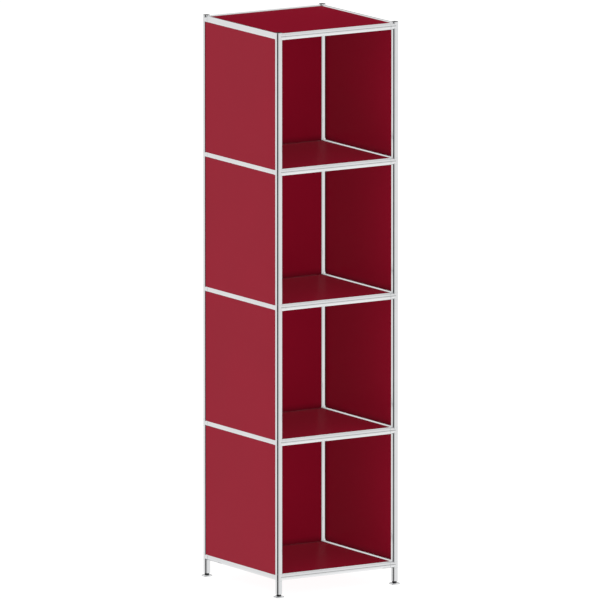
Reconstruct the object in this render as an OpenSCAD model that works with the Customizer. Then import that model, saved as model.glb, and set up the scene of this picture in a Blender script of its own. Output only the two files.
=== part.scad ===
// Open shelving tower: a chrome tube frame, one compartment wide and several high,
// closed by folded sheet steel panels at the sides, back, floor and top, on four levelling feet.
// X runs left to right, the open front faces -Y, and Z = 0 is the floor.

/* [Frame] */
// Distance between the post axes, left to right
cell_w = 385; // [250:5:800]
// Distance between the post axes, front to back
cell_d = 385; // [250:5:500]
// Distance between the rail axes of one tier
cell_h = 385; // [175:5:500]
// Number of compartments, one above the other
tiers = 4; // [1:1:4]

/* [Tube] */
// Outside diameter of every tube
tube_d = 19; // [18:0.5:22]
// Wall thickness of every tube
tube_wall = 1.5; // [1.2:0.1:1.8]
// Break on the outer edge of a tube's end
tube_edge = 0.3; // [0.1:0.1:0.5]

/* [Hub] */
// How far a hub stands proud of the tubes, on the radius
hub_proud = 0.2; // [0.1:0.05:0.25]
// Half the height of a hub on its post
hub_half = 10; // [10:0.5:14]
// Reach of a hub's arm from the post axis to the seam with the rail
arm_reach = 18.5; // [15:0.5:25]
// Thickness of the cap on top of a post
cap_h = 2.3; // [1.5:0.1:4]

/* [Panel] */
// Sheet thickness of a panel
sheet_t = 1; // [0.8:0.1:1.2]
// Distance of a panel's visible face from the plane of the tube axes
face_offset = 7.3; // [6.8:0.1:7.8]
// Gap between a panel's edge and the tube that it lies along
tube_gap = 0.3; // [0.3:0.05:0.5]
// Angle from the panel's normal at which its folded lip ends
lip_end = 70; // [60:1:75]

/* [Clip] */
// Thickness of the spring strip of a panel clip
clip_t = 0.5; // [0.4:0.1:0.6]
// Length of a panel clip along its rail
clip_len = 16; // [10:1:30]
// Distance of a clip from the middle of its panel, as a share of the panel's width
clip_share = 0.3; // [0.1:0.05:0.35]

/* [Feet] */
// Drop from the lowest rail axis to the end of a leg
leg_drop = 47.7; // [46:0.1:80]
// Height of a leg's end above the floor, with its foot screwed in
leg_z = 9.3; // [9:0.1:12]
// Diameter of a foot plate
foot_d = 30; // [28:1:40]
// Diameter of the foot spindle's thread
spindle_d = 10; // [8:1:10]
// Travel of a levelling foot
foot_travel = 12; // [5:1:12]

/* [Hidden] */
$fn = 64;
tube_r = tube_d / 2;
bore_r = tube_r - tube_wall;
base_h = leg_z + leg_drop;
hub_r = tube_r + hub_proud;
level_z = [for (k = [0 : tiers]) base_h + k * cell_h];
corner_xy = [[-1, -1], [1, -1], [1, 1], [-1, 1]];
corner_names = ["front_left", "front_right", "back_right", "back_left"];

// Spigots: plugs that carry the tubes, screwed into the hubs
spigot_r = bore_r - 0.05;
spigot_len = 16;
stud_r = 4;
stud_len = 8;
tap_r = 4.05;
tap_len = 8.5;
lock_at = 8;

// Lock screws: hexagon-socket set screws, sunk just under the tube's surface
lock_r = 2.4;
lock_seat = 3.5;
lock_top = tube_r - 0.4;
lock_bore_r = 2.5;
lock_hole_r = 2.6;
key_r = 1.45;
key_depth = 2.2;

// Panels: the lip is rolled round the tube, a tube_gap clear of it
lip_r0 = tube_r + tube_gap;
lip_r1 = lip_r0 + sheet_t;
lip_corner = 12.5;
edge_land = 14;
skin_edge = sqrt(pow(lip_r0, 2) - pow(face_offset - sheet_t, 2)) + 0.1;
notch_r = hub_r + 0.3;

// Clips: a strip round the tube that hooks over the end of a lip
clip_r0 = tube_r + 0.05;
hook_gap = 0.15;
clip_r1 = clip_r0 + clip_t;
hook_r0 = lip_r1 + hook_gap;
hook_r1 = hook_r0 + clip_t;
hook_tail = acos((face_offset - sheet_t - hook_gap) / hook_r1);
clip_bend = lip_end + 1;
clip_fold = clip_bend + 3;
clip_tail = 150;

// Feet
bush_len = 15;
thread_grip = 8.2;
bush_bore_r = spindle_d / 2;
spindle_r = bush_bore_r - 0.1;
spindle_top = leg_z + foot_travel + thread_grip;
collar_r = 7.5;
collar_z0 = 5.4;
collar_z1 = leg_z - 0.3;
plate_z0 = 0.6;
plate_rim_z = 2.2;
plate_top_z = 5.2;
plate_top_r = 7.6;
pad_r = 12.4;
pad_t = 1.6;
neck_r = 3.4;
button_r = 4.4;
button_z0 = 2.2;
button_z1 = 3.4;
swivel_gap = 0.1;

chrome = "silver";
steel = "gainsboro";
lacquer = [0.52, 0.08, 0.15];
black = "dimgray";

// Places its children on the post axis of corner i
module at_corner(i) {
    translate([corner_xy[i].x * cell_w / 2, corner_xy[i].y * cell_d / 2, 0]) children();
}

// A solid of revolution about Z from [radius, height] points
module turned(points) {
    rotate_extrude() polygon(points);
}

// A round bar along Z from z0 to z1 with chamfered ends
module bar(r, z0, z1, edge) {
    turned([[0, z0], [r - edge, z0], [r, z0 + edge], [r, z1 - edge], [r - edge, z1], [0, z1]]);
}

// Turns +Z to +X
module along_x() {
    rotate([0, 90, 0]) children();
}

// Turns +Z to +Y
module along_y() {
    rotate([-90, 0, 0]) children();
}

// --- Tubes ---------------------------------------------------------------

// A tube along Z from z0 to z1, with lock screw holes at the given heights, on its +X side turned by lock_dir
module tube(z0, z1, holes, lock_dir = 0) {
    color(chrome) difference() {
        bar(tube_r, z0, z1, tube_edge);
        translate([0, 0, z0 - 1]) cylinder(r = bore_r, h = z1 - z0 + 2);
        for (z = holes)
            translate([0, 0, z]) rotate([0, 0, lock_dir]) rotate([0, 90, 0])
                cylinder(r = lock_hole_r, h = tube_d, $fn = 32);
    }
}

module cross_rails(k) {
    half = cell_w / 2 - arm_reach;
    for (y = [-1, 1] * cell_d / 2)
        translate([0, y, level_z[k]]) along_x() tube(-half, half, [-half + lock_at, half - lock_at]);
}

module side_rails(k) {
    half = cell_d / 2 - arm_reach;
    for (x = [-1, 1] * cell_w / 2)
        translate([x, 0, level_z[k]]) rotate([0, 0, 90]) along_x()
            tube(-half, half, [-half + lock_at, half - lock_at]);
}

module posts(k) {
    z0 = level_z[k - 1] + hub_half;
    z1 = level_z[k] - hub_half;
    for (i = [0 : 3]) at_corner(i) tube(z0, z1, [z0 + lock_at, z1 - lock_at], post_lock_dir(i));
}

module leg_tubes() {
    z1 = base_h - hub_half;
    for (i = [0 : 3]) at_corner(i) tube(leg_z, z1, [z1 - lock_at], post_lock_dir(i));
}

// Lock screws face the inside of the tower on the front posts, and the rear on the back posts
function post_lock_dir(i) =
    corner_xy[i].y > 0 ? 90 : corner_xy[i].x < 0 ? 45 : 135;

// --- Hubs ----------------------------------------------------------------

// Blind tapped hole that runs down from z along the axis
module tap(z) {
    translate([0, 0, z - tap_len]) cylinder(r = tap_r, h = tap_len + 1);
}

// Corner hub with arms along +X and +Y
module hub() {
    difference() {
        union() {
            bar(hub_r, -hub_half, hub_half, tube_edge);
            along_x() bar(hub_r - 0.05, 0, arm_reach, tube_edge);
            along_y() bar(hub_r - 0.05, 0, arm_reach, tube_edge);
        }
        tap(hub_half);
        rotate([180, 0, 0]) tap(hub_half);
        along_x() tap(arm_reach);
        along_y() tap(arm_reach);
    }
}

module hubs(k) {
    color(chrome) for (i = [0 : 3])
        at_corner(i) translate([0, 0, level_z[k]]) rotate([0, 0, 90 * i]) hub();
}

module top_caps() {
    z = level_z[tiers] + hub_half;
    color(chrome) for (i = [0 : 3]) at_corner(i) translate([0, 0, z]) {
        bar(tube_r, 0, cap_h, 0.5);
        translate([0, 0, -stud_len]) cylinder(r = stud_r, h = stud_len + 0.5);
    }
}

// --- Spigots and lock screws ---------------------------------------------

// Spigot on a hub's face at Z = 0, with its body in the tube along +Z
module spigot(lock_dir = 0) {
    color(steel) difference() {
        union() {
            bar(spigot_r, 0, spigot_len, 1);
            translate([0, 0, -stud_len]) cylinder(r = stud_r, h = stud_len + 1);
        }
        translate([0, 0, lock_at]) rotate([0, 0, lock_dir]) rotate([0, 90, 0])
            translate([0, 0, lock_seat - 0.2]) cylinder(r = lock_bore_r, h = spigot_r, $fn = 32);
    }
}

// Set screw whose spigot stands on a hub's face at Z = 0
module lock_screw(lock_dir = 0) {
    color(black) translate([0, 0, lock_at]) rotate([0, 0, lock_dir]) rotate([0, 90, 0]) difference() {
        bar_between(lock_r, lock_seat, lock_top, 0.4);
        translate([0, 0, lock_top - key_depth]) cylinder(r = key_r, h = key_depth + 1, $fn = 6);
    }
}

// A round bar along Z with chamfers, for heights that start above zero
module bar_between(r, z0, z1, edge) {
    translate([0, 0, z0]) bar(r, 0, z1 - z0, edge);
}

// Places a copy of its children at both ends of every rail, with +Z into the rail and +X down
module at_rail_ends() {
    for (z = level_z, i = [0 : 3]) at_corner(i) translate([0, 0, z]) rotate([0, 0, 90 * i]) {
        along_x() translate([0, 0, arm_reach]) children();
        rotate([0, 0, 90]) along_x() translate([0, 0, arm_reach]) children();
    }
}

// Places a copy of its children at both ends of the posts of corner i and at the top of its leg
module at_post_ends(i) {
    at_corner(i) {
        for (z = [for (k = [0 : tiers - 1]) level_z[k]])
            translate([0, 0, z + hub_half]) children();
        for (z = level_z)
            translate([0, 0, z - hub_half]) mirror([0, 0, 1]) children();
    }
}

module rail_spigots() {
    at_rail_ends() spigot();
}

module rail_lock_screws() {
    at_rail_ends() lock_screw();
}

module post_spigots() {
    for (i = [0 : 3]) at_post_ends(i) spigot(post_lock_dir(i));
}

module post_lock_screws() {
    for (i = [0 : 3]) at_post_ends(i) lock_screw(post_lock_dir(i));
}

// --- Panels --------------------------------------------------------------

// Section across a panel's edge. The tube's axis is the origin, the panel lies towards -X with its face up
module edge_section() {
    difference() {
        union() {
            intersection() {
                circle(r = lip_r1);
                polygon([[0, 0], [0, face_offset], [-face_offset * tan(lip_end), face_offset]]);
            }
            translate([-edge_land, face_offset - sheet_t]) square([edge_land, sheet_t]);
        }
        circle(r = lip_r0);
    }
}

// Panel of w by d between tube axes, face up, about the plane of the axes.
// A notched one clears the tubes that stand on its corners; a plain one has no lip on its +Y edge
module panel(w, d, notched, plain = false) {
    skin_w = w - 2 * skin_edge;
    lip_d = d - 2 * lip_corner;
    far_edge = plain ? skin_edge : edge_land - 1;
    color(lacquer) difference() {
        union() {
            translate([-skin_w / 2, 0, 0]) rotate([90, 0, 90]) linear_extrude(skin_w) {
                mirror([1, 0]) translate([d / 2, 0]) edge_section();
                if (!plain) translate([d / 2, 0]) edge_section();
                translate([-d / 2 + edge_land - 1, face_offset - sheet_t])
                    square([d - edge_land + 1 - far_edge, sheet_t]);
            }
            for (s = [0, 1]) mirror([s, 0, 0]) translate([w / 2, lip_d / 2, 0]) rotate([90, 0, 0])
                linear_extrude(lip_d) edge_section();
        }
        // Open corners between the lips
        for (x = [0, 1], y = [0, 1]) mirror([x, 0, 0]) mirror([0, y, 0])
            translate([w / 2 - lip_corner, d / 2 - lip_corner, 0])
                cube([lip_corner, lip_corner, face_offset - sheet_t]);
        if (notched)
            for (x = [-1, 1] * w / 2, y = [-1, 1] * d / 2)
                translate([x, y, 0]) cylinder(r = notch_r, h = 2 * face_offset);
    }
}

// Floor of a compartment, whose plain rear edge meets the back panel's face, or the top with all four lips
module floor_panel(k) {
    translate([0, 0, level_z[k]]) panel(cell_w, cell_d, true, plain = k < tiers);
}

// Side panel with its face outwards; side is -1 for the left one, 1 for the right one
module side_panel(k, side) {
    translate([side * cell_w / 2, 0, level_z[k] - cell_h / 2]) rotate([0, side * 90, 0])
        panel(cell_h, cell_d, false);
}

// Back panel with its face towards the front
module back_panel(k) {
    translate([0, cell_d / 2, level_z[k] - cell_h / 2]) rotate([90, 0, 0]) panel(cell_w, cell_h, true);
}

// --- Panel clips ---------------------------------------------------------

// Ring sector about the origin from angle a0 to angle a1, counted from +Y towards +X
module sector(r0, r1, a0, a1) {
    reach = 2 * r1;
    mid = (a0 + a1) / 2;
    intersection() {
        difference() {
            circle(r = r1);
            circle(r = r0);
        }
        polygon([[0, 0], for (a = [a0, mid, a1]) reach * [sin(a), cos(a)]]);
    }
}

// Spring clip on a tube along X, for a panel that lies towards -Y with its face up
module clip() {
    color(steel) translate([-clip_len / 2, 0, 0]) rotate([90, 0, 90]) linear_extrude(clip_len)
        mirror([1, 0, 0]) {
            sector(clip_r0, clip_r1, clip_bend, (clip_bend + clip_tail) / 2 + 1);
            sector(clip_r0, clip_r1, (clip_bend + clip_tail) / 2, clip_tail);
            sector(clip_r0, hook_r1, clip_bend, clip_fold);
            sector(hook_r0, hook_r1, hook_tail, clip_fold);
        }
}

// Two clips along the +Y edge of a panel of w by h, face up
module clip_pair(w, h) {
    for (s = [-1, 1]) translate([s * clip_share * w, h / 2, 0]) clip();
}

module side_panel_clips() {
    for (k = [1 : tiers], side = [-1, 1])
        translate([side * cell_w / 2, 0, level_z[k] - cell_h / 2])
            rotate([0, 0, side * 90]) rotate([90, 0, 0]) clip_pair(cell_d, cell_h);
}

module back_panel_clips() {
    for (k = [1 : tiers])
        translate([0, cell_d / 2, level_z[k] - cell_h / 2]) rotate([90, 0, 0])
            clip_pair(cell_w, cell_h);
}

// --- Feet ----------------------------------------------------------------

// Threaded bush pressed into the end of each leg
module leg_bushes() {
    color(steel) for (i = [0 : 3]) at_corner(i) difference() {
        translate([0, 0, leg_z]) bar(spigot_r, 0, bush_len, 0.4);
        translate([0, 0, leg_z - 1]) cylinder(r = bush_bore_r, h = bush_len + 2);
    }
}

// Domed plate with a recess for its pad and a socket that holds the spindle's button
module foot_plate(i) {
    rim_r = foot_d / 2;
    color(chrome) at_corner(i) turned([
        [0, pad_t], [pad_r + 0.1, pad_t], [pad_r + 0.1, plate_z0], [rim_r - 0.4, plate_z0],
        [rim_r, plate_z0 + 0.4], [rim_r, plate_rim_z - 0.4], [rim_r - 0.4, plate_rim_z],
        [plate_top_r + 1.4, plate_top_z - 0.6], [plate_top_r, plate_top_z],
        [neck_r + swivel_gap, plate_top_z], [neck_r + swivel_gap, button_z1 + swivel_gap],
        [button_r + swivel_gap, button_z1 + swivel_gap], [button_r + swivel_gap, button_z0 - swivel_gap],
        [0, button_z0 - swivel_gap]
    ]);
}

module foot_pad(i) {
    color(black) at_corner(i) bar(pad_r, 0, pad_t, 0.3);
}

// Threaded spindle with a hexagon collar for a spanner and a button that turns in the plate
module foot_spindle(i) {
    color(black) at_corner(i) {
        translate([0, 0, collar_z0]) cylinder(r = collar_r, h = collar_z1 - collar_z0, $fn = 6);
        translate([0, 0, button_z0]) cylinder(r = button_r, h = button_z1 - button_z0);
        translate([0, 0, button_z0]) cylinder(r = neck_r, h = collar_z0 - button_z0 + 1);
        translate([0, 0, collar_z0 + 1]) bar(spindle_r, 0, spindle_top - collar_z0 - 1, 0.8);
    }
}

for (k = [0 : tiers]) {
    hubs(k);
    cross_rails(k);
    side_rails(k);
}
for (k = [1 : tiers]) {
    posts(k);
    side_panel(k, -1);
    side_panel(k, 1);
    back_panel(k);
}
floor_panel(0);  // bottom_panel
floor_panel(tiers);  // top_panel
for (k = [1 : 1 : tiers - 1])
    floor_panel(k);
leg_tubes();
leg_bushes();
top_caps();
rail_spigots();
post_spigots();
rail_lock_screws();
post_lock_screws();
side_panel_clips();
back_panel_clips();
for (i = [0 : 3]) {
    foot_plate(i);
    foot_pad(i);
    foot_spindle(i);
}
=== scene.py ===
# Open shelving tower: chrome tube frame, folded red sheet panels, four levelling feet
import math

import bmesh
import bpy
from mathutils import Matrix, Vector


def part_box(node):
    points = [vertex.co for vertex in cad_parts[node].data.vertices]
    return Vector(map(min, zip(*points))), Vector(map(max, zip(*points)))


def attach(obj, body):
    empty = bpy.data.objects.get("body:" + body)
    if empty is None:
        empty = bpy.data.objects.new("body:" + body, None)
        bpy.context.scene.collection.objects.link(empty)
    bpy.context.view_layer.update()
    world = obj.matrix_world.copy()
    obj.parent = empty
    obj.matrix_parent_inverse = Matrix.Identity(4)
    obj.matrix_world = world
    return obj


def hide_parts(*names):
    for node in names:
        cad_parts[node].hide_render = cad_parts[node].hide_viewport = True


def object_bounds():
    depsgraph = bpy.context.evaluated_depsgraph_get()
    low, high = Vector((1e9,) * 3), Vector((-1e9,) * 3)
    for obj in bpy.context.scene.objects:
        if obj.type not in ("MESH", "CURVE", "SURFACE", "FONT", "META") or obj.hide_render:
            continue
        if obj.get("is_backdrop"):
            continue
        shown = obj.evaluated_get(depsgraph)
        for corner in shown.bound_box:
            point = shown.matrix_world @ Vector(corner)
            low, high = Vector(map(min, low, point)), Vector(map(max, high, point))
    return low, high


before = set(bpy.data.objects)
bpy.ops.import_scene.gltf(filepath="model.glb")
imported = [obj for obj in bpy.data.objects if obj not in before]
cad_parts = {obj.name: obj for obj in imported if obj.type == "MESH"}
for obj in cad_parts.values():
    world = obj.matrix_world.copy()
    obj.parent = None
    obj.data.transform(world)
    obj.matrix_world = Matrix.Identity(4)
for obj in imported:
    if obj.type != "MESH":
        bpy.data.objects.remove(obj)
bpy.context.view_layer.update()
mm = 0.001
print("frame loaded:", len(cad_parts), "nodes")


# Camera, first of all: a long lens, a little above and left of the open front
cameraSet = {
    "aim": (-0.0033, -0.0025, 0.8045),
    "azimuth": -32.0,
    "elevation": 9.80,
    "distance": 51.37,
    "lens": 1092.1,
}


def placeCamera(setup):
    turn, rise = math.radians(setup["azimuth"]), math.radians(setup["elevation"])
    back = Vector((math.sin(turn) * math.cos(rise), -math.cos(turn) * math.cos(rise), math.sin(rise)))
    lens = bpy.data.cameras.new("longLens")
    lens.lens = setup["lens"]
    lens.sensor_width = 36
    lens.clip_start, lens.clip_end = 1, 300
    camera = bpy.data.objects.new("camera", lens)
    bpy.context.scene.collection.objects.link(camera)
    camera.location = Vector(setup["aim"]) + back * setup["distance"]
    camera.rotation_mode = "QUATERNION"
    camera.rotation_quaternion = (-back).to_track_quat("-Z", "Y")
    bpy.context.scene.camera = camera
    bpy.context.scene.view_settings.view_transform = "Standard"


placeCamera(cameraSet)
print("camera placed")


# Shader maths: a wire is one output socket, and sums written with wires add Math nodes
class Wire:
    def __init__(self, socket):
        self.socket = socket

    def maths(self, operation, *values):
        tree = self.socket.id_data
        made = tree.nodes.new("ShaderNodeMath")
        made.operation = operation
        for place, value in enumerate(values):
            if isinstance(value, Wire):
                tree.links.new(value.socket, made.inputs[place])
            else:
                made.inputs[place].default_value = value
        return Wire(made.outputs[0])

    def __add__(self, other):
        return self.maths("ADD", self, other)

    def __radd__(self, other):
        return self.maths("ADD", other, self)

    def __sub__(self, other):
        return self.maths("SUBTRACT", self, other)

    def __rsub__(self, other):
        return self.maths("SUBTRACT", other, self)

    def __mul__(self, other):
        return self.maths("MULTIPLY", self, other)

    def __rmul__(self, other):
        return self.maths("MULTIPLY", other, self)

    def __abs__(self):
        return self.maths("ABSOLUTE", self)


# One node tree, of a finish or of the studio, with one way to add any other node
class NodeBench:
    def __init__(self, owner):
        self.tree = owner.node_tree
        self.tree.nodes.clear()

    def node(self, kind, settings=None, sockets=None):
        made = self.tree.nodes.new("ShaderNode" + kind)
        for name, value in (settings or {}).items():
            if name == "stops":
                while len(made.color_ramp.elements) < len(value):
                    made.color_ramp.elements.new(1)
                for stop, (position, tone) in zip(made.color_ramp.elements, value):
                    stop.position, stop.color = position, (*tone, 1)
            else:
                setattr(made, name, value)
        for name, value in (sockets or {}).items():
            if isinstance(value, Wire):
                self.tree.links.new(value.socket, made.inputs[name])
            else:
                made.inputs[name].default_value = value
        return made

    def wire(self, kind, output, settings=None, sockets=None):
        return Wire(self.node(kind, settings, sockets).outputs[output])

    # first below low, last above high
    def ramp(self, value, low, high, first=0.0, last=1.0):
        return self.wire("MapRange", "Result", {"interpolation_type": "SMOOTHSTEP"}, {
            "Value": value, "From Min": low, "From Max": high, "To Min": first, "To Max": last})

    # 1 within half of the centre, fading to 0 over soft
    def band(self, value, centre, half, soft):
        return self.ramp(abs(value - centre), half, half + soft, 1.0, 0.0)


# Studio: a white room. What the polished parts mirror has a few dark screens in it.
# Their compass angles and heights are in degrees, the compass counted from the camera's side
studioSet = {
    "cameraSide": -122.2,
    "fillLow": 0.56,
    "fillHigh": 0.56,
    "leftGain": 0.04,  # how much brighter the fill is from the left
    "mirrorFloor": 0.94,
    "mirrorDeep": 1.12,
    "mirrorZenith": 0.68,
    "screens": (  # compass (centre, half width, soft edge), height (the same), how dark
        ((-41, 18, 4), (-5, 40, 15), 0.975),  # beside the tower, on the left
        ((-6, 12, 8), (-5, 25, 12), 0.36),  # around the camera
        ((65, 40, 8), (3.2, 4.5, 2), 0.8),  # a low skirting on the right
    ),
    "rearCompass": (138, 152),  # the dark wall at the rear begins and is full
    "rearHeight": (9, 7, 5),
    "rearTone": 0.05,
    "floorGlow": 0.91,
    "floorTone": 0.20,
    "floorRadius": 90,
    "floorSteps": 96,
    "floorDrop": 0.0002,  # below the pads, so the two never share a plane
    "keyFrom": (-0.538, -0.650, 0.538),
    "keyStrength": 1.40,
    "keySpread": 40,
}


def lightStudio(setup):
    world = bpy.data.worlds.new("studio")
    world.use_nodes = True
    bpy.context.scene.world = world
    bench = NodeBench(world)
    direction = bench.wire("TexCoord", "Generated")
    parts = bench.node("SeparateXYZ", sockets={"Vector": direction})
    east, north, rise = (Wire(parts.outputs[axis]) for axis in "XYZ")

    # soft fill for everything matt, stronger from the left
    height = bench.ramp(rise, 0.0, 1.0)
    fill = setup["fillLow"] - height * (setup["fillLow"] - setup["fillHigh"])
    fill = fill * (1 - east * setup["leftGain"])

    # what gloss mirrors
    compass = north.maths("ARCTAN2", north, east) * (180 / math.pi) - setup["cameraSide"]
    angle = compass.maths("WRAP", compass, 180.0, -180.0)
    tilt = rise.maths("ARCSINE", rise) * (180 / math.pi)
    mirror = setup["mirrorFloor"]
    mirror = mirror + bench.ramp(0 - tilt, 15, 65) * (setup["mirrorDeep"] - setup["mirrorFloor"])
    mirror = mirror - bench.ramp(tilt, 35, 80) * (setup["mirrorFloor"] - setup["mirrorZenith"])
    for across, upward, dark in setup["screens"]:
        mirror = mirror * (1 - bench.band(angle, *across) * bench.band(tilt, *upward) * dark)
    rear = bench.ramp(abs(angle), *setup["rearCompass"]) * bench.band(tilt, *setup["rearHeight"])
    mirror = mirror * (1 - rear * (1 - setup["rearTone"]))

    path = bench.node("LightPath")
    glossy, seen = Wire(path.outputs["Is Glossy Ray"]), Wire(path.outputs["Is Camera Ray"])
    strength = (fill * (1 - glossy) + mirror * glossy) * (1 - seen) + seen
    background = bench.wire("Background", "Background", sockets={"Color": (1, 1, 1, 1), "Strength": strength})
    bench.node("OutputWorld", sockets={"Surface": background})


def layFloor(setup):
    bm = bmesh.new()
    bmesh.ops.create_circle(bm, cap_ends=True, segments=setup["floorSteps"], radius=setup["floorRadius"],
                            matrix=Matrix.Translation((0, 0, -setup["floorDrop"])))
    mesh = bpy.data.meshes.new("studioFloor")
    bm.to_mesh(mesh)
    bm.free()
    paper = bpy.data.materials.new("studioPaper")
    paper.use_nodes = True
    bench = NodeBench(paper)
    tone = setup["floorTone"]
    matt = bench.wire("BsdfDiffuse", "BSDF", sockets={"Color": (tone, tone, tone, 1)})
    glow = bench.wire("Emission", "Emission", sockets={"Color": (1, 1, 1, 1), "Strength": setup["floorGlow"]})
    both = bench.node("AddShader")
    bench.tree.links.new(matt.socket, both.inputs[0])
    bench.tree.links.new(glow.socket, both.inputs[1])
    # from below, the paper isn't there, so that the underside can be looked at
    clear = bench.wire("BsdfTransparent", "BSDF")
    side = bench.node("MixShader", sockets={"Fac": bench.wire("NewGeometry", "Backfacing")})
    bench.tree.links.new(both.outputs[0], side.inputs[1])
    bench.tree.links.new(clear.socket, side.inputs[2])
    bench.node("OutputMaterial", sockets={"Surface": Wire(side.outputs[0])})
    mesh.materials.append(paper)
    floor = bpy.data.objects.new("studioFloor", mesh)
    bpy.context.scene.collection.objects.link(floor)
    floor.visible_glossy = False
    floor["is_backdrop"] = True


# A soft key from the front left that reaches into the compartments
def hangKey(setup):
    key = bpy.data.lights.new("frontKey", "SUN")
    key.energy = setup["keyStrength"]
    key.angle = math.radians(setup["keySpread"])
    key.use_shadow = False
    lamp = bpy.data.objects.new("frontKey", key)
    bpy.context.scene.collection.objects.link(lamp)
    lamp.rotation_mode = "QUATERNION"
    lamp.rotation_quaternion = (-Vector(setup["keyFrom"])).to_track_quat("-Z", "Y")
    lamp.visible_glossy = False


lightStudio(studioSet)
layFloor(studioSet)
hangKey(studioSet)
print("studio lit")


# Finishes. All patterns are read in metres from the piece's own place
def startFinish(name):
    finish = bpy.data.materials.new(name)
    finish.use_nodes = True
    bench = NodeBench(finish)
    return finish, bench, bench.wire("TexCoord", "Object")


def speckle(bench, place, scale, detail=2.0, stretch=(1, 1, 1)):
    if stretch != (1, 1, 1):
        place = bench.wire("Mapping", "Vector", sockets={"Vector": place, "Scale": stretch})
    return bench.wire("TexNoise", "Fac", sockets={"Vector": place, "Scale": scale, "Detail": detail})


def tint(bench, amount, dark, light):
    return bench.wire("ValToRGB", "Color", {"stops": [(0.3, dark), (0.7, light)]}, {"Fac": amount})


def endFinish(bench, sockets, relief, strength, depth):
    bump = bench.wire("Bump", "Normal", sockets={"Height": relief, "Strength": strength, "Distance": depth})
    surface = bench.wire("BsdfPrincipled", "BSDF", sockets={**sockets, "Normal": bump})
    bench.node("OutputMaterial", sockets={"Surface": surface})


chromeSet = {"dark": (0.735, 0.742, 0.752), "light": (0.775, 0.780, 0.788), "roughness": 0.045}


# Bright chrome over tube, with faint polishing lines along the tube
def chromePlate(name, stretch):
    finish, bench, place = startFinish(name)
    haze = speckle(bench, place, 11, 3)
    lines = speckle(bench, place, 700, 2, stretch)
    endFinish(bench, {
        "Base Color": tint(bench, haze, chromeSet["dark"], chromeSet["light"]),
        "Metallic": 1.0,
        "Roughness": chromeSet["roughness"] + haze * 0.03 + lines * 0.02,
    }, lines, 0.05, 0.00002)
    return finish


lacquerSet = {
    "dark": (0.262, 0.0026, 0.0180),
    "light": (0.282, 0.0034, 0.0204),
    # painted shade colour, mixed in where ambient occlusion finds surfaces close by
    "paintedCreviceShade": (0.012, 0.0001, 0.0008),
    "paintedShadeReach": 0.020,
    "roughness": 0.30,
    # outside, inside, rear and level set the sheen by which way a face looks: painted sheen on outer faces,
    # painted shade on the rest
    "outside": 0.08,
    "inside": 0.012,
    "rear": 0.055,
    "level": 0.002,
}


# Red powder coat: a fine even grain over a shallow orange peel, with painted shade that darkens the colour
# close to tubes, corners and folds
def powderCoat(name, gloss):
    finish, bench, place = startFinish(name)
    cloud = speckle(bench, place, 7, 3)
    peel = speckle(bench, place, 420, 1)
    grain = speckle(bench, place, 1900, 2)
    red = tint(bench, cloud * 0.5 + grain * 0.5, lacquerSet["dark"], lacquerSet["light"])
    # painted shade: an ambient occlusion node pulls the colour towards near-black red within reach of tubes,
    # corners and folds
    openness = bench.wire("AmbientOcclusion", "AO", {"samples": 6}, {"Distance": lacquerSet["paintedShadeReach"]})
    mix = bench.node("Mix", {"data_type": "RGBA"}, {"Factor": openness})
    mix.inputs[6].default_value = (*lacquerSet["paintedCreviceShade"], 1)  # colour A of the mix
    bench.tree.links.new(red.socket, mix.inputs[7])
    endFinish(bench, {
        "Base Color": Wire(mix.outputs[2]),
        "Roughness": lacquerSet["roughness"] + cloud * 0.06 + grain * 0.08,
        "Specular IOR Level": gloss,
    }, peel * 0.6 + grain * 0.4, 0.22, 0.00005)
    return finish


steelSet = {
    "zinc": {"dark": (0.40, 0.41, 0.43), "light": (0.60, 0.60, 0.60), "roughness": 0.28, "scale": 900},
    "spring": {"dark": (0.34, 0.34, 0.36), "light": (0.52, 0.52, 0.54), "roughness": 0.22, "scale": 1500},
    "blackOxide": {"dark": (0.030, 0.030, 0.033), "light": (0.075, 0.075, 0.080), "roughness": 0.38,
                   "scale": 1100},
}


# Plain steels: cloudy plating, fine tool marks
def steelFinish(name, setup, stretch=(1, 1, 1)):
    finish, bench, place = startFinish(name)
    cloud = speckle(bench, place, 160, 3)
    marks = speckle(bench, place, setup["scale"], 2, stretch)
    endFinish(bench, {
        "Base Color": tint(bench, cloud * 0.6 + marks * 0.4, setup["dark"], setup["light"]),
        "Metallic": 1.0,
        "Roughness": setup["roughness"] + cloud * 0.10 + marks * 0.10,
    }, marks, 0.12, 0.00004)
    return finish


def blackRubber(name):
    finish, bench, place = startFinish(name)
    dust = speckle(bench, place, 240, 3)
    grain = speckle(bench, place, 2600, 2)
    endFinish(bench, {
        "Base Color": tint(bench, dust, (0.016, 0.016, 0.017), (0.040, 0.039, 0.038)),
        "Roughness": 0.70 + grain * 0.2,
    }, grain, 0.4, 0.00008)
    return finish


chromeUpright = chromePlate("chromeUpright", (1, 1, 0.02))
chromeAcross = chromePlate("chromeAcross", (0.02, 1, 1))
chromeDeep = chromePlate("chromeDeep", (1, 0.02, 1))
chromeCast = chromePlate("chromeCast", (1, 1, 1))
# One red coat in four copies that differ only in sheen: painted sheen outside, painted shade inside the
# compartments, on the rear panels' inner faces and on level faces
redCoatPaintedSheen = powderCoat("redPowderCoatPaintedSheen", lacquerSet["outside"])
redCoatPaintedShadeInside = powderCoat("redPowderCoatPaintedShadeInside", lacquerSet["inside"])
redCoatPaintedShadeRear = powderCoat("redPowderCoatPaintedShadeRear", lacquerSet["rear"])
redCoatPaintedShadeLevel = powderCoat("redPowderCoatPaintedShadeLevel", lacquerSet["level"])
zincSteel = steelFinish("zincSteel", steelSet["zinc"])
springSteel = steelFinish("springSteel", steelSet["spring"], (0.1, 1, 1))
blackSteel = steelFinish("blackOxideSteel", steelSet["blackOxide"])
rubber = blackRubber("blackRubber")
print("finishes mixed")


# Workshop: how any mesh becomes a piece of the tower
sharpAngle = math.radians(38)


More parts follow.
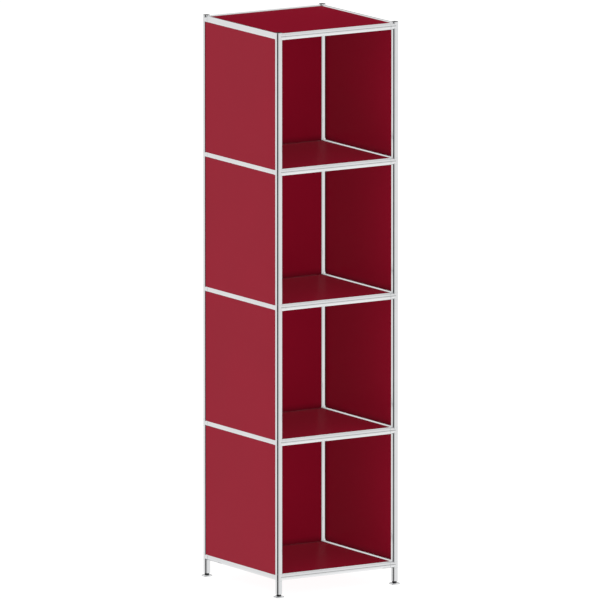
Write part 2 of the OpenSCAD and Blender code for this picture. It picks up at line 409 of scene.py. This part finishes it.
def addPiece(name, bm, finish, node, body="frame"):
    mesh = bpy.data.meshes.new(name)
    bm.to_mesh(mesh)
    bm.free()
    mesh.shade_smooth()
    mesh.set_sharp_from_angle(angle=sharpAngle)
    mesh.materials.append(finish)
    piece = bpy.data.objects.new(name, mesh)
    bpy.context.scene.collection.objects.link(piece)
    level = piece.modifiers.new("flatsStayFlat", "WEIGHTED_NORMAL")
    level.keep_sharp = True
    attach(piece, body)
    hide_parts(node)
    return piece


def keepMesh(bm):
    mesh = bpy.data.meshes.new("pattern")
    bm.to_mesh(mesh)
    bm.free()
    return mesh


def placedCopies(pattern, places):
    bm = bmesh.new()
    for place in places:
        copy = pattern.copy()
        copy.transform(place)
        bm.from_mesh(copy)
        bpy.data.meshes.remove(copy)
    return bm


def tidyShell(bm):
    bmesh.ops.remove_doubles(bm, verts=bm.verts, dist=1e-7)
    bmesh.ops.recalc_face_normals(bm, faces=bm.faces)


# A turned shape about Z, from (radius, height) points in mm
def turned(points, steps=64, closed=False):
    bm = bmesh.new()
    verts = [bm.verts.new((radius * mm, 0, height * mm)) for radius, height in points]
    edges = [bm.edges.new(pair) for pair in zip(verts, verts[1:])]
    if closed:
        edges.append(bm.edges.new((verts[-1], verts[0])))
    bmesh.ops.spin(bm, geom=verts + edges, cent=(0, 0, 0), axis=(0, 0, 1), angle=2 * math.pi,
                   steps=steps, use_merge=True)
    tidyShell(bm)
    return bm


def arc(centre, radius, start, end, count):
    turns = [math.radians(start + (end - start) * i / count) for i in range(count + 1)]
    return [(centre[0] + radius * math.cos(t), centre[1] + radius * math.sin(t)) for t in turns]


# The grid of the tower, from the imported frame
tubeSet = {
    "radius": 9.5,
    "bore": 8.0,
    "edge": 0.3,
    "steps": 64,
    "holeRadius": 2.6,
    "holeAt": 8.0,  # from the tube's end
    "patch": 3.75,  # half the side of the square that is reworked round a hole
}
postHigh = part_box("posts_tier_1")[1]
postX, postY = postHigh.x - tubeSet["radius"] * mm, postHigh.y - tubeSet["radius"] * mm
levels = []
while f"cross_rails_level_{len(levels)}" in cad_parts:
    low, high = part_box(f"cross_rails_level_{len(levels)}")
    levels.append((low.z + high.z) / 2)
corners = {  # place of each post, and the way its lock screws face
    "front_left": (-postX, -postY, 45),
    "front_right": (postX, -postY, 135),
    "back_right": (postX, postY, 90),
    "back_left": (-postX, postY, 90),
}


def turnedTo(axis, degrees):
    return Matrix.Rotation(math.radians(degrees), 4, axis)


# Joins a round hole in a wall at +X to the mesh round it, and returns the hole's edges
def pierce(bm, wall, height, setup):
    half, reach = setup["patch"] * mm + 1e-6, math.radians(22.6)
    inPatch = {v for v in bm.verts if abs(v.co.z - height) < half and abs(math.atan2(v.co.y, v.co.x)) < reach
               and abs(math.hypot(v.co.x, v.co.y) - wall) < 2e-5}
    faces = [f for f in bm.faces if all(v in inPatch for v in f.verts)]
    chosen = set(faces)
    rim = [e for f in faces for e in f.edges if any(g not in chosen for g in e.link_faces)]
    bmesh.ops.delete(bm, geom=faces, context="FACES")
    ring = bmesh.ops.create_circle(bm, segments=len(rim), radius=setup["holeRadius"] * mm,
                                   matrix=Matrix.Translation((0, 0, height)) @ turnedTo("Y", 90))["verts"]
    for v in ring:
        v.co.x = math.sqrt(wall * wall - v.co.y * v.co.y)
    hole = list({e for v in ring for e in v.link_edges})
    bmesh.ops.bridge_loops(bm, edges=rim + hole)
    return hole


# A tube about Z, centred, with lock screw holes at the given heights in mm
def makeTube(length, holes, setup):
    radius, bore, edge = setup["radius"], setup["bore"], setup["edge"]
    top = length / 2
    rows = [z + setup["patch"] * step / 4 for z in holes for step in range(-4, 5)]
    rows = sorted(rows + [0.0])
    outline = arc((radius - edge, -top + edge), edge, -90, 0, 3) + [(radius, z) for z in rows]
    outline += arc((radius - edge, top - edge), edge, 0, 90, 3)
    outline += [(bore + 0.15, top), (bore, top - 0.15)] + [(bore, z) for z in reversed(rows)]
    outline += [(bore, -top + 0.15), (bore + 0.15, -top)]
    bm = turned(outline, setup["steps"], closed=True)
    for height in holes:
        loops = [pierce(bm, wall * mm, height * mm, setup) for wall in (radius, bore)]
        bmesh.ops.bridge_loops(bm, edges=loops[0] + loops[1])
    bmesh.ops.recalc_face_normals(bm, faces=bm.faces)
    return keepMesh(bm)


def spanOf(node, axis):
    low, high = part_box(node)
    return low[axis], high[axis]


def makeTubes(setup):
    hole = setup["holeAt"]
    lay = turnedTo("Y", 90)  # a rail's holes point down
    for across, stem, finish in ((True, "cross_rails", chromeAcross), (False, "side_rails", chromeDeep)):
        low, high = spanOf(f"{stem}_level_0", 0 if across else 1)
        length = (high - low) / mm
        pattern = makeTube(length, [-length / 2 + hole, length / 2 - hole], setup)
        for k, z in enumerate(levels):
            if across:
                places = [Matrix.Translation((0, y, z)) @ lay for y in (-postY, postY)]
            else:
                places = [Matrix.Translation((x, 0, z)) @ turnedTo("Z", 90) @ lay for x in (-postX, postX)]
            name = ("crossRails" if across else "sideRails") + f"Level{k}"
            addPiece(name, placedCopies(pattern, places), finish, f"{stem}_level_{k}")
        bpy.data.meshes.remove(pattern)
    for k in range(len(levels)):
        node = f"posts_tier_{k}" if k else "leg_tubes"
        low, high = spanOf(node, 2)
        length = (high - low) / mm
        holes = [-length / 2 + hole, length / 2 - hole] if k else [length / 2 - hole]
        pattern = makeTube(length, holes, setup)
        middle = (low + high) / 2
        places = [Matrix.Translation((x, y, middle)) @ turnedTo("Z", turn) for x, y, turn in corners.values()]
        name = f"postsTier{k}" if k else "legTubes"
        addPiece(name, placedCopies(pattern, places), chromeUpright, node)
        bpy.data.meshes.remove(pattern)


makeTubes(tubeSet)
print("tubes made")


# Panels: a flat sheet whose edges fold back and run round the tubes
panelSet = {
    "sheet": 1.0,
    "tubeSide": 9.55,  # radius of a lip's face towards the tube
    "farSide": 10.6,
    "fold": 0.12,  # outer radius of the fold
    "lipEnd": 70,  # degrees from the sheet's normal
    "corner": 12.5,  # from a post's axis to the end of a lip
    "cut": 1.3,  # off each corner of the sheet
    "faceOffset": 7.3,
    "plainEdge": 7.6,  # from the tube's axis to a plain rear edge
    "soften": 0.15,
}


# Pairs of points across the metal, from the flat to the lip's end, as (distance from the tube's axis, height)
def foldPairs(offset, setup):
    inner, outer, fold = setup["tubeSide"], setup["farSide"], setup["fold"]
    middleY = offset - fold
    middleX = math.sqrt((inner + fold) ** 2 - middleY ** 2)
    crease = math.sqrt(outer ** 2 - (offset - setup["sheet"]) ** 2)
    creaseAngle = math.degrees(math.atan2(crease, offset - setup["sheet"]))
    startAngle = math.degrees(math.atan2(middleX, middleY))
    pairs = [(point, (crease, offset - setup["sheet"]))
             for point in arc((middleX, middleY), fold, 90, 270 - startAngle, 6)]
    for i in range(1, 7):
        turn = startAngle + (setup["lipEnd"] - startAngle) * i / 6
        far = max(turn, creaseAngle)
        pairs.append(((inner * math.sin(math.radians(turn)), inner * math.cos(math.radians(turn))),
                      (outer * math.sin(math.radians(far)), outer * math.cos(math.radians(far)))))
    return pairs


# A panel face up about the plane of the tube axes. A plain one has no lip on its +Y edge
def makePanel(width, depth, plain, setup):
    offset = setup["faceOffset"]
    pairs = foldPairs(offset, setup)
    edge = pairs[0][0][0]
    bm = bmesh.new()
    bmesh.ops.create_grid(bm, x_segments=3, y_segments=3, size=1)
    halves = (width / 2, depth / 2)
    stops = [[-half + edge, -half + setup["corner"], half - setup["corner"], half - edge] for half in halves]
    if plain:
        stops[1][3] = halves[1] - setup["plainEdge"]
    lines = [sorted({round(v.co[axis], 4) for v in bm.verts}) for axis in (0, 1)]
    for v in bm.verts:
        for axis in (0, 1):
            v.co[axis] = stops[axis][lines[axis].index(round(v.co[axis], 4))] * mm
        v.co.z = (offset - setup["sheet"]) * mm
    raised = bmesh.ops.extrude_face_region(bm, geom=bm.faces[:])["geom"]
    bmesh.ops.translate(bm, verts=[g for g in raised if isinstance(g, bmesh.types.BMVert)],
                        vec=(0, 0, setup["sheet"] * mm))
    for axis, side in ((0, 1), (0, -1), (1, 1), (1, -1)):
        if plain and (axis, side) == (1, 1):
            continue
        half, other = halves[axis] * mm, 1 - axis
        rimAt = stops[axis][0 if side < 0 else 3] * mm
        face = next(f for f in bm.faces if all(abs(v.co[axis] - rimAt) < 1e-6 for v in f.verts)
                    and abs(f.calc_center_median()[other]) < 0.01)
        roles = [v.co.z > (offset - setup["sheet"] / 2) * mm for v in face.verts]
        for v, onFace in zip(face.verts, roles):
            if not onFace:
                v.co[axis] = side * (half - pairs[0][1][0] * mm)
        for outerPoint, innerPoint in pairs[1:]:
            face = bmesh.ops.extrude_discrete_faces(bm, faces=[face])["faces"][0]
            for v, onFace in zip(face.verts, roles):
                away, height = outerPoint if onFace else innerPoint
                v.co[axis], v.co.z = side * (half - away * mm), height * mm
    tidyShell(bm)
    upright = [e for e in bm.edges if abs(e.verts[0].co.z - e.verts[1].co.z) > 0.9 * setup["sheet"] * mm
               and all(min(abs(v.co[axis] - stops[axis][i] * mm) for i in (0, 3)) < 1e-6
                       for v in e.verts for axis in (0, 1))]
    bmesh.ops.bevel(bm, geom=upright, offset=setup["cut"] * mm, segments=3, profile=0.5, affect="EDGES",
                    material=-1)
    sharp = [e for e in bm.edges if e.is_manifold and e.calc_face_angle_signed() > math.radians(60)]
    bmesh.ops.bevel(bm, geom=sharp, offset=setup["soften"] * mm, segments=2, profile=0.5, affect="EDGES",
                    material=-1, clamp_overlap=True)
    tidyShell(bm)
    return keepMesh(bm)


# Upright faces inside a compartment and all level ones get less sheen than the outside: painted shade set by
# which way a face looks, on one and the same coat.
# The studio keeps the red out of the chrome's reflections
def addPanel(name, bm, node, inward=None, inner=redCoatPaintedShadeInside):
    panel = addPiece(name, bm, redCoatPaintedSheen, node)
    panel.data.materials.append(inner)
    panel.data.materials.append(redCoatPaintedShadeLevel)
    for face in panel.data.polygons:
        if abs(face.normal.z) > 0.5:
            face.material_index = 2
        elif inward is not None and face.normal.dot(inward) > 0.5:
            face.material_index = 1
    panel.visible_glossy = False


def makePanels(setup):
    width, depth = 2 * postX / mm, 2 * postY / mm
    tier = (levels[1] - levels[0]) / mm
    shelfPattern = makePanel(width, depth, True, setup)
    topPattern = makePanel(width, depth, False, setup)
    sidePattern = makePanel(tier, depth, False, setup)
    backPattern = makePanel(width, tier, False, setup)
    last = len(levels) - 1
    for k, z in enumerate(levels):
        node = "bottom_panel" if k == 0 else "top_panel" if k == last else f"shelf_panel_{k}"
        name = "bottomPanel" if k == 0 else "topPanel" if k == last else f"shelfPanel{k}"
        pattern = topPattern if k == last else shelfPattern
        addPanel(name, placedCopies(pattern, [Matrix.Translation((0, 0, z))]), node)
    for k in range(1, len(levels)):
        middle = (levels[k - 1] + levels[k]) / 2
        for name, side in (("left", -1), ("right", 1)):
            place = Matrix.Translation((side * postX, 0, middle)) @ turnedTo("Y", side * 90)
            addPanel(f"{name}Panel{k}", placedCopies(sidePattern, [place]), f"{name}_panel_{k}",
                     Vector((-side, 0, 0)))
        place = Matrix.Translation((0, postY, middle)) @ turnedTo("X", 90)
        addPanel(f"backPanel{k}", placedCopies(backPattern, [place]), f"back_panel_{k}", Vector((0, -1, 0)),
                 redCoatPaintedShadeRear)
    for pattern in (shelfPattern, topPattern, sidePattern, backPattern):
        bpy.data.meshes.remove(pattern)


makePanels(panelSet)
print("panels folded")


# Caps on the posts
capSet = {"radius": 9.5, "height": 2.3, "round": 0.5, "crown": 0.12, "stud": 4.0, "studLength": 8.0}


def makeCaps(setup):
    radius, height, curve = setup["radius"], setup["height"], setup["round"]
    flat = height - setup["crown"]
    outline = [(0, height), (radius * 0.3, height - setup["crown"] * 0.1),
               (radius * 0.6, height - setup["crown"] * 0.45)]
    outline += arc((radius - curve, flat - curve), curve, 84, 0, 5) + [(radius, 0.1), (radius - 0.1, 0)]
    outline += [(setup["stud"], 0), (setup["stud"], -setup["studLength"] + 0.4),
                (setup["stud"] - 0.4, -setup["studLength"]), (0, -setup["studLength"])]
    pattern = keepMesh(turned(outline))
    z = spanOf("top_caps", 2)[1] - height * mm
    places = [Matrix.Translation((x, y, z)) for x, y, turn in corners.values()]
    addPiece("topCaps", placedCopies(pattern, places), chromeCast, "top_caps")
    bpy.data.meshes.remove(pattern)


makeCaps(capSet)
print("caps turned")


# Feet: a domed plate on a rubber pad, and a threaded spindle that turns in the plate
footSet = {
    "rim": 15.0, "rimLow": 0.6, "rimHigh": 2.2, "rimRound": 0.4,
    "domeTop": 5.2, "domeRadius": 7.6, "domeSwell": 1.15,
    "recess": 12.5, "padThick": 1.6, "neckHole": 3.5, "buttonHole": 4.5, "buttonLow": 2.1, "buttonHigh": 3.5,
    "padRadius": 12.4, "grooves": (4.5, 7.0, 9.5),
}
spindleSet = {
    "root": 4.1, "crest": 4.9, "pitch": 1.5, "collarLow": 5.4, "collarHigh": 9.0, "flats": 6.495,
    "neck": 3.4, "button": 4.4, "buttonLow": 2.2, "buttonHigh": 3.4,
}


def makePlate(setup):
    rim, low, high = setup["rim"], setup["rimLow"], setup["rimHigh"]
    curve = setup["rimRound"]
    outline = [(0, setup["padThick"]), (setup["recess"], setup["padThick"]), (setup["recess"], low)]
    outline += arc((rim - curve, low + curve), curve, -90, 0, 4)
    outline += arc((rim - curve, high - curve), curve, 0, 65, 4)
    foot, climb = rim - 0.5, setup["domeTop"] - 0.25 - high
    for i in range(1, 12):  # the dome
        share = i / 12
        outline.append((foot - (foot - setup["domeRadius"]) * share,
                        high + climb * math.sin(share * math.pi / 2) ** setup["domeSwell"]))
    outline += arc((setup["domeRadius"] - 0.3, setup["domeTop"] - 0.3), 0.3, 80, 90, 2)
    outline += [(setup["neckHole"] + 0.2, setup["domeTop"]), (setup["neckHole"], setup["domeTop"] - 0.2),
                (setup["neckHole"], setup["buttonHigh"]), (setup["buttonHole"], setup["buttonHigh"]),
                (setup["buttonHole"], setup["buttonLow"]), (0, setup["buttonLow"])]
    return keepMesh(turned(outline, 72))


def makePad(setup):
    radius, thick = setup["padRadius"], setup["padThick"]
    outline = [(0, thick)] + arc((radius - 0.3, thick - 0.3), 0.3, 90, 0, 3)
    outline += arc((radius - 0.3, 0.3), 0.3, 0, -90, 3)
    for groove in reversed(setup["grooves"]):
        outline += [(groove + 0.8, 0), (groove + 0.45, 0.5), (groove - 0.45, 0.5), (groove - 0.8, 0)]
    outline.append((0, 0))
    return keepMesh(turned(outline, 72))


# Grows a closed shape upwards from rings, each (height, radius) with the radius held to the hexagon
def hexCollar(setup):
    count = 48
    bm = bmesh.new()
    bmesh.ops.create_circle(bm, cap_ends=True, segments=count, radius=1.0)
    face = bm.faces[:][0]
    turns = [math.atan2(v.co.y, v.co.x) for v in face.verts]
    low, high, flats = setup["collarLow"], setup["collarHigh"], setup["flats"]
    rings = [(low, flats * 0.99), (low + 0.5, 8), (high - 0.5, 8), (high, flats * 0.99)]
    for i, (height, limit) in enumerate(rings):
        if i:
            face = bmesh.ops.extrude_discrete_faces(bm, faces=[face])["faces"][0]
        for v, turn in zip(face.verts, turns):
            corner = math.radians(math.degrees(turn) % 60 - 30)
            radius = min(limit, flats / math.cos(corner))
            v.co = (radius * math.cos(turn) * mm, radius * math.sin(turn) * mm, height * mm)
    # the first ring was moved, not grown, so the shell needs its lower face
    openEdges = [e for e in bm.edges if e.is_boundary]
    if openEdges:
        bmesh.ops.holes_fill(bm, edges=openEdges)
    tidyShell(bm)
    return bm


def makeSpindle(top, setup):
    root, crest, pitch = setup["root"], setup["crest"], setup["pitch"]
    low = setup["collarHigh"]
    bm = hexCollar(setup)
    rod = [(0, top), (root - 0.6, top), (root, top - 0.7), (root, low + 0.6), (root - 0.3, low + 0.3),
           (root - 0.3, low - 0.2), (0, low - 0.2)]
    stem = [(0, setup["collarLow"] + 0.3), (setup["neck"], setup["collarLow"] + 0.3),
            (setup["neck"], setup["buttonHigh"]), (setup["button"] - 0.15, setup["buttonHigh"]),
            (setup["button"], setup["buttonHigh"] - 0.15), (setup["button"], setup["buttonLow"] + 0.15),
            (setup["button"] - 0.15, setup["buttonLow"]), (0, setup["buttonLow"])]
    for outline in (rod, stem):
        part = keepMesh(turned(outline, 48))
        bm.from_mesh(part)
        bpy.data.meshes.remove(part)
    # the thread's ridge, spun as a helix
    ridge = bmesh.new()
    start = low + 0.7
    turns = (top - 0.9 - start) / pitch
    section = [(root - 0.1, -0.60), (crest, -0.09), (crest, 0.09), (root - 0.1, 0.60)]
    verts = [ridge.verts.new((radius * mm, 0, (start + height + 0.6) * mm)) for radius, height in section]
    loop = ridge.faces.new(verts)
    steps = int(turns * 32)
    bmesh.ops.spin(ridge, geom=[loop], cent=(0, 0, 0), axis=(0, 0, 1), angle=turns * 2 * math.pi,
                   dvec=(0, 0, (turns * pitch - 0.6) * mm / steps), steps=steps)
    tidyShell(ridge)
    part = keepMesh(ridge)
    bm.from_mesh(part)
    bpy.data.meshes.remove(part)
    return keepMesh(bm)


def makeFeet(foot, spindle):
    plate, pad = makePlate(foot), makePad(foot)
    thread = makeSpindle(spanOf("foot_spindle_front_left", 2)[1] / mm, spindle)
    for corner, (x, y, turn) in corners.items():
        place = [Matrix.Translation((x, y, 0))]
        tag = corner.title().replace("_", "")
        addPiece("footPlate" + tag, placedCopies(plate, place), chromeCast,
                 f"foot_plate_{corner}", f"foot_{corner}")
        addPiece("footPad" + tag, placedCopies(pad, place), rubber,
                 f"foot_pad_{corner}", f"foot_{corner}")
        addPiece("footSpindle" + tag, placedCopies(thread, place), blackSteel,
                 f"foot_spindle_{corner}", f"spindle_{corner}")
    for pattern in (plate, pad, thread):
        bpy.data.meshes.remove(pattern)


makeFeet(footSet, spindleSet)
print("feet made")


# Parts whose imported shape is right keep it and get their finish
keptFinishes = {
    "rail_spigots": zincSteel,
    "post_spigots": zincSteel,
    "leg_bushes": zincSteel,
    "rail_lock_screws": blackSteel,
    "post_lock_screws": blackSteel,
    "side_panel_clips": springSteel,
    "back_panel_clips": springSteel,
    **{f"hubs_level_{k}": chromeCast for k in range(len(levels))},
}
for node, finish in keptFinishes.items():
    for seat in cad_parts[node].material_slots:
        seat.material = finish
print("kept parts finished")

low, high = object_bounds()
